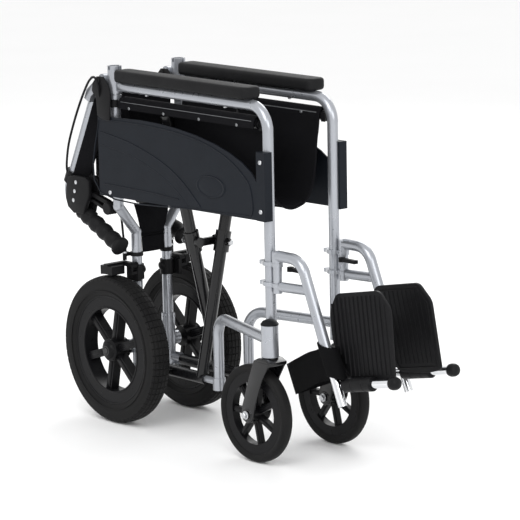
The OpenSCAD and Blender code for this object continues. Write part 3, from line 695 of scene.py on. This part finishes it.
for side, lift in (("left", 0.0), ("right", 4.5)):
    bm = bmesh.new()
    sling(bm, lift)
    hem = bmesh.new()
    cloth_hem(hem, lift)
    if side == "right":
        for shell in (bm, hem):
            bmesh.ops.scale(shell, vec=(-1, 1, 1), verts=shell.verts)
            bmesh.ops.reverse_faces(shell, faces=shell.faces)
    piece(f"seat_sling_{side}", bm, CLOTH, f"seat_{side}", 60)
    edge = piece(f"seat_hem_{side}", hem, CLOTH, f"seat_{side}", 60)
    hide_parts(f"seat_cloth_{side}")
    line_length(SLING) / 1000


LOWER_BACK = [(76, 14), (74, 24), (66, 44), (52, 78), (36, 114), (20, 148), (8, 170), (3, 178)]
LOWER_BACK_Z = (474, 700)
LOWER_BACK_STEPS = 30


def lower_back(bm):
    line = [along_line(LOWER_BACK, k / LOWER_BACK_STEPS) for k in range(LOWER_BACK_STEPS + 1)]

    def shape(u, v):
        p = line[round(u * LOWER_BACK_STEPS)]
        z = LOWER_BACK_Z[0] + (LOWER_BACK_Z[1] - LOWER_BACK_Z[0]) * v
        fold = math.sin(math.pi * u) * (2.5 * math.sin(v * 7 + u * 3) + 1.4 * math.sin(v * 17))
        return mm(p.x + fold * 0.7, p.y - fold * 0.3, z)

    draped(bm, LOWER_BACK_STEPS, 34, shape)


backs = paired("lower_back_cloth", lower_back, CLOTH, "back_{}", "cloth", 60)
for side, cloth in backs.items():
    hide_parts(f"back_lower_{side}")
    line_length(LOWER_BACK) / 1000


def cane_at(z):
    """The cane's centre line, rearward of the axle, at a height."""
    return 41.6 + (738.4 - z) * math.tan(CANE_TILT)


def upper_back(bm):
    """Wraps the cane's front, hangs forward in a fold, then runs rearward to the middle."""
    def shape(u, v):
        z = 500 + (700 - 500) * v
        start = cane_at(z)
        band = 4 + 34 * share((690 - z) / 110)
        ripple = math.sin(v * 8 + u * 5) + 0.5 * math.sin(v * 19 - u * 7)
        apex = max(168 + 18 * (1 - v), start + 6)
        turn = [(93.6, start - 9.5), (88, start - 12.8 - 0.25 * band), (80, start - 11 - 0.85 * band),
                (73.6, start - 9 - band), (71.6, start - 6 - 0.5 * band), (72.2, start),
                (52, start + (apex - start) * 0.22), (26, start + (apex - start) * 0.58), (3, apex)]
        t = u * (len(turn) - 1)
        k = min(int(t), len(turn) - 2)
        p = curve_point([Vector((*q, 0)) for q in turn], k, t - k)
        free = share((u - 0.62) / 0.2)
        return mm(p.x + ripple * free, p.y + ripple * 0.8 * min(1.0, free + 0.3), z + 2 * math.sin(u * 5))

    draped(bm, 40, 30, shape)


uppers = paired("upper_back_cloth", upper_back, CLOTH, None, "cloth", 60)
for side, cloth in uppers.items():
    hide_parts(f"back_upper_{side}")
    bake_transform(cloth)


def flap_y(x):
    return -9 - 3 * math.cos(x / 18)


def rear_flap(bm):
    def shape(u, v):
        z = 357 + (462 - 357) * v
        half = 29 + 18 * max(0.0, (v - 0.33) / 0.67)
        x = (2 * u - 1) * half
        return mm(x, flap_y(x) + 1.5 * math.sin(v * 6), z)

    draped(bm, 22, 22, shape)


def flap_seam(bm):
    """Stitched hem band across the flap."""
    rows = [mm(x, flap_y(x) - 2.6, 392) for x in range(-28, 29, 4)]
    for lift in (0.0022, -0.0022):
        swept(bm, [p + Vector((0, 0, lift)) for p in rows], 0.0013, 6)


bm = bmesh.new()
rear_flap(bm)
flap = piece("rear_flap", bm, CLOTH, "link", 60)
bm = bmesh.new()
flap_seam(bm)
seam = piece("flap_seam", bm, CLOTH, "link", 60)

STRAP = [(80, -648, 244), (92, -647, 243), (101, -653, 241), (103.5, -666, 239), (98, -682, 237),
         (88, -690, 235), (76, -688, 233), (69.5, -676, 231), (67, -656, 229), (60, -625, 220),
         (46, -572, 203), (27, -518, 180), (8, -466, 157), (1.5, -452, 151)]
STRAP_WIDTH = 64


def calf_strap(bm):
    """Half of the webbing that runs from a footrest tube back to the middle."""
    line = smooth_path([Vector(p) for p in STRAP], 6)

    def shape(u, v):
        p = line[round(u * (len(line) - 1))]
        across = (v - 0.5) * STRAP_WIDTH
        sag = 3 * math.sin(math.pi * max(0.0, u - 0.6) / 0.4) * math.sin(v * 3.1)
        return mm(p.x + sag * 0.4, p.y - across * 0.41, p.z - across * 0.912 - sag)

    draped(bm, len(line) - 1, 10, shape, 0.0025)


straps = paired("calf_strap_webbing", calf_strap, WEBBING, "footrest_{}", "webbing", 60)
for side, strap in straps.items():
    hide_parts(f"calf_strap_{side}")


# ---- Handles, levers and cables ----


def bend_frame():
    """Corner of the handle and the two directions along the handle and down the cane."""
    down = Vector((0, math.sin(CANE_TILT), -math.cos(CANE_TILT)))
    out = Vector((0, math.cos(CANE_TILT), math.sin(CANE_TILT)))
    pivot = mm(POST_MM, *BACK_PIVOT)
    return pivot + down * 0.305 + out * 0.024, -out, down


CORNER, ALONG, DOWN = bend_frame()


def by_bend(u, v, x=0.0):
    return CORNER + ALONG * (u / 1000) + DOWN * (v / 1000) + Vector((x / 1000, 0, 0))


def grip(bm):
    outline = [(11.2, 0), (14.5, 0), (17, 1.5), (17.6, 5), (16.6, 8)]
    for k in range(4):
        start = 12 + k * 30
        outline += [(14.8, start), (16.9, start + 6), (18.2, start + 14), (16.9, start + 22),
                    (14.9, start + 28)]
    outline += [(16.6, 136), (20, 138.5), (20.6, 141), (20.4, 144), (16, 146.8), (8, 147.8), (0, 148)]
    turned(bm, outline, by_bend(57.5, 0), ALONG, 40)


def lever_ribs(bm):
    tip = by_bend(140, -58)
    for x in (-9, -3, 3, 9):
        turned(bm, [(12.4, x - 1.8), (13.5, x - 0.9), (13.7, x), (13.5, x + 0.9), (12.4, x + 1.8)],
               tip, (1, 0, 0), 32)


def lever_housing(bm):
    """Moulded clamp over the handle's bend, with two cheeks either side of the lever."""
    wrap = [(5, -54), (22, -66), (26, -52), (21, -32), (25, -17), (40, -13.5), (94, -12.5),
            (94, -6), (70, -3), (53, 7), (32, 5), (17, -8), (8, -30)]
    cheek = [(4, -54), (20, -67), (56, -84), (70, -83), (80, -64), (84, -48), (82, -24),
             (84, -8), (70, -2), (53, 8), (30, 6), (15, -8), (7, -30)]
    slab(bm, [by_bend(u, v, -15) for u, v in wrap], Vector((0.030, 0, 0)), 3.0)
    for face in (1, -1):
        slab(bm, [by_bend(u, v, face * 7.2) for u, v in cheek], Vector((face * 0.0108, 0, 0)), 2.6)


def lever_rivets(bm):
    for u, v in ((34, -58), (38, -38), (42, -18)):
        for face in (1, -1):
            turned(bm, [(0, 1.8), (2.4, 1.6), (4.2, 0.6), (4.4, -0.4), (0, -0.4)],
                   by_bend(u, v, face * 18), (face, 0, 0), 20)


def hinge_cover(bm):
    """Moulded plates either side of the back's pivot."""
    crown = [(-13, 717), (5, 737), (27, 736), (41, 722)]
    outer = crown + [(45, 705), (31, 688), (28, 654), (8, 646), (-13, 647), (-17, 700)]
    inner = crown + [(42, 706), (-13, 704)]
    x = POST_MM
    for face, outline in ((1, outer), (-1, inner)):
        slab(bm, [mm(x + face * 20.4, y, z) for y, z in outline], Vector((face * 0.0044, 0, 0)), 1.6)


def hinge_bolt(bm):
    for face in (1, -1):
        screw(bm, mm(POST_MM + face * 24.4, *BACK_PIVOT), (face, 0, 0), 6.5, 3.4)


UPPER_CABLE = [(10, 148, 506), (14, 152, 520), (18, 148, 540), (21, 135, 582), (22, 113, 630), (23, 89, 673),
               (25, 68, 703), (27, 51, 723), (28, 38, 733)]
LOWER_CABLE = [(28, 16, 712), (26, 18, 700), (20, 21, 688), (14, 23, 672), (13, 24, 640),
               (13, 25, 600), (13, 25, 560), (13, 26, 520), (10, 28, 499), (0, 29, 487),
               (-12, 27, 477), (-20, 24, 464), (-23.5, 20, 445), (-23.5, 16, 420),
               (-22, 11, 395), (-22, 8, 375)]
CABLE_RADIUS = 0.0025


def cable(bm, route):
    swept(bm, smooth_path([mm(POST_MM + x, y, z) for x, y, z in route], 6), CABLE_RADIUS, 12)


def cable_bridge(bm):
    """Loose loop across the back's pivot, from one cable's end to the other's."""
    route = [UPPER_CABLE[-2], UPPER_CABLE[-1], (28.3, 25, 732), LOWER_CABLE[0], LOWER_CABLE[1]]
    path = smooth_path([mm(POST_MM + x, y, z) for x, y, z in route], 10)
    swept(bm, path[9:32], 0.00262, 12)


def barrel_adjuster(bm):
    place = mm(POST_MM - 22, 8, 360)
    turned(bm, [(2.6, 22), (3.4, 21), (3.6, 15), (5.2, 14.4), (5.6, 12), (5.2, 9.6), (4.4, 9),
                (4.4, 2), (6.0, 1.4), (6.2, -2), (4.2, -2.6), (4.2, -17)], place, (0, 0, 1), 18)


grips = paired("handle_grip", grip, FOAM, "cane_body_{}", "plastic", 55)
top_cables = paired("brake_cable_top", cable, PLASTIC, "cane_body_{}", "cable", 60, route=UPPER_CABLE)
low_cables = paired("brake_cable_low", cable, PLASTIC, "frame_{}", "cable", 60, route=LOWER_CABLE)
for side in SIDES:
    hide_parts(f"grip_{side}")
    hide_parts(f"brake_cable_upper_{side}")
    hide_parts(f"brake_cable_lower_{side}")
paired("lever_tip_ribs", lever_ribs, PLASTIC, "hand_lever_{}", "plastic")
paired("lever_housing", lever_housing, PLASTIC, "cane_body_{}", "plastic")
paired("hinge_cover", hinge_cover, PLASTIC, "frame_{}", "plastic")
paired("lever_rivets", lever_rivets, STEEL, "cane_body_{}", "chrome")
paired("hinge_bolt", hinge_bolt, PLASTIC, "frame_{}", "plastic")
paired("cable_adjuster", barrel_adjuster, STEEL, "frame_{}", "chrome")
for side, bridge in paired("brake_cable_bridge", cable_bridge, PLASTIC, None, "cable", 60).items():
    x = SIDES[side] * (POST + 0.028)
    mm(x * 1000, 40, 735)
    mm(x * 1000, 17, 710)
    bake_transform(bridge)


# ---- Frame fixings ----


def rail_screws(bm):
    x = POST_MM
    for y in (-67, -180, -293, -410):
        screw(bm, mm(x - 14.2, y, 684), (-1, 0, 0), 3.6, 2.2, False)
        screw(bm, mm(x + 10.8 + 2.6, y, 676), (1, 0, 0), 3.4, 2.2, False)


def link_bolts(bm):
    for x, y, face in ((22.5, -237.6, -1), (-22.5, -144.4, 1)):
        screw(bm, mm(x, y, 400.5), (0, face, 0), 6.6, 4.2)


def post_knobs(bm):
    turned(bm, [(0, 9), (5, 8.6), (8, 6.4), (8.8, 3), (7.6, 0), (5, -0.8), (0, -0.8)],
           mm(29.5, -4, 320), (-1, 0, 0), 28)


def casting_pin(bm):
    place = mm(POST_MM, -20, 747)
    for face in (1, -1):
        turned(bm, [(0, 3), (3.6, 2.6), (5, 0.8), (5, -1.2), (0, -1.2)],
               place + Vector((face * 0.0078, 0, -0.016)), (face, 0, 0), 20)


def ring_bolts(bm):
    for z in (407, 366):
        for face in (1, -1):
            screw(bm, mm(POST_MM + face * 6.2, -476, z), (face, 0, 0), 5, 3.4)


def rail_strip(bm):
    """Strips along both sides of the rail, as the clamp that holds the cloth, in light metal so they also paint
    the black rail's highlight line.
    """
    x = POST_MM
    bar(bm, mm(x + 12.2, -455, 684), mm(x + 13.9, -38, 688), 0.7)
    bar(bm, mm(x - 14.2, -455, 684), mm(x - 12.6, -38, 688), 0.7)


# Light metal strips along the rail's top: a painted highlight line on the black rail, as well as the cloth
# clamp.
paired("rail_strip", rail_strip, DARK_STEEL, "seat_{}", "chrome")
paired("rail_screws", rail_screws, DARK_STEEL, "seat_{}", "chrome")
bm = bmesh.new()
link_bolts(bm)
piece("link_bolts", bm, STEEL, "link")
paired("post_knob", post_knobs, PLASTIC, "frame_{}", "plastic", 50)
paired("casting_pin", casting_pin, PLASTIC, "frame_{}", "plastic", 50)
paired("ring_bolts", ring_bolts, STEEL, "frame_{}", "chrome")


# ---- Footrests ----

LEG_TILT = math.radians(23.3)
LEG_TOP = mm(POST_MM + 3, -583, 421)
LEG_DOWN = Vector((0, -math.sin(LEG_TILT), -math.cos(LEG_TILT)))
BAR_RISE = math.radians(11)
BAR_OUT = Vector((0, -math.cos(BAR_RISE), math.sin(BAR_RISE)))
BAR_UP = Vector((0, math.sin(BAR_RISE), math.cos(BAR_RISE)))


def leg_at(s):
    return LEG_TOP + LEG_DOWN * (s / 1000)


BAR_START = leg_at(251.5)
BAR_START.x = POST - 0.0075


def bar_at(s):
    return BAR_START + BAR_OUT * (s / 1000)


def leg_collar(bm):
    turned(bm, [(9.2, -3), (12.8, -3), (13.2, -1), (13.2, 13), (12.2, 15), (11.2, 15)],
           leg_at(213), LEG_DOWN, 32)


def leg_button(bm):
    place = leg_at(184) + Vector((0.0113, 0, 0))
    turned(bm, [(0, 2.6), (2.6, 2.2), (3.6, 0.6), (3.8, -0.6), (0, -0.6)], place, (1, 0, 0), 20)


def bar_cap(bm):
    turned(bm, [(0, 16.5), (6, 15.8), (10.8, 13), (12.9, 8), (13.1, 2), (12.8, -1), (12.2, -3.2),
                (8.7, -4)], bar_at(150), BAR_OUT, 32)


PLATE_LEAN = math.radians(3.2)


def plate_point(u, v, depth):
    """u along the pivot towards the front, v up the plate, depth inboard from the pivot's centre."""
    local = Matrix.Rotation(-PLATE_LEAN, 3, "Y") @ Vector((-depth / 1000, 0, v / 1000))
    return BAR_START + BAR_OUT * (u / 1000) + Vector((local.x, 0, 0)) + BAR_UP * local.z


def footplate(bm):
    """Plate with rounded corners, ribs across both faces and a raised line round the tread."""
    outline = [(22, 4), (-26, 84), (-26, 144), (-2, 178), (120, 178), (147, 141), (140, 4), (104, 0)]
    shift = plate_point(0, 0, 20) - plate_point(0, 0, 12)
    push(bm, bm.faces.new([bm.verts.new(plate_point(u, v, 12)) for u, v in outline]), shift)
    bmesh.ops.recalc_face_normals(bm, faces=bm.faces)
    through = shift.normalized()
    round_edges(bm, [e for e in bm.edges
                     if abs((e.verts[0].co - e.verts[1].co).normalized().dot(through)) > 0.95], 0.009, 4)
    round_edges(bm, sharp_edges(bm, RIM_ANGLE), 0.0016, 2)
    for k in range(13):
        u = -16 + k * 12.4
        top = min(170, 172 + (u + 6) * 1.3 if u < -4 else 170, 170 - max(0, u - 118) * 1.3)
        low = 24 + max(0.0, 20 - u) * 1.5 if u < 20 else 16
        swept(bm, [plate_point(u, low, 11.4), plate_point(u, top, 11.4)], 0.0019, 8)
        swept(bm, [plate_point(u, low + 4, 20.3), plate_point(u, top - 4, 20.3)], 0.0009, 8)
    inner = [(28, 12), (-18, 86), (-18, 142), (2, 170), (116, 170), (139, 139), (132, 12)]
    swept(bm, [plate_point(u, v, 20.2) for u, v in inner], 0.0014, 8, True)


def plate_hub(bm):
    turned(bm, [(8.7, 13.5), (12.5, 13.5), (14, 15), (14, 40), (13.2, 41), (13.2, 43), (14, 44),
                (14, 72), (13.2, 73), (13.2, 75), (14, 76), (14, 92.5), (12.5, 94), (8.7, 94)],
           BAR_START, BAR_OUT, 40)
    swept(bm, [plate_point(30, 6, 10), plate_point(90, 6, 10)], 0.006, 10)


paired("leg_collar", leg_collar, PLASTIC, "footrest_{}", "plastic")
paired("leg_button", leg_button, STEEL, "footrest_{}", "chrome")
paired("bar_cap", bar_cap, PLASTIC, "leg_{}", "plastic")
plates = paired("footplate_tread", footplate, PLASTIC, "plate_{}", "plastic")
paired("footplate_hub", plate_hub, PLASTIC, "plate_{}", "plastic")
for side in SIDES:
    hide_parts(f"footplate_{side}")


# ---- Floor ----

bm = bmesh.new()
bmesh.ops.create_grid(bm, x_segments=4, y_segments=4, size=14)
floor = piece("floor", bm, paint_floor(), None)
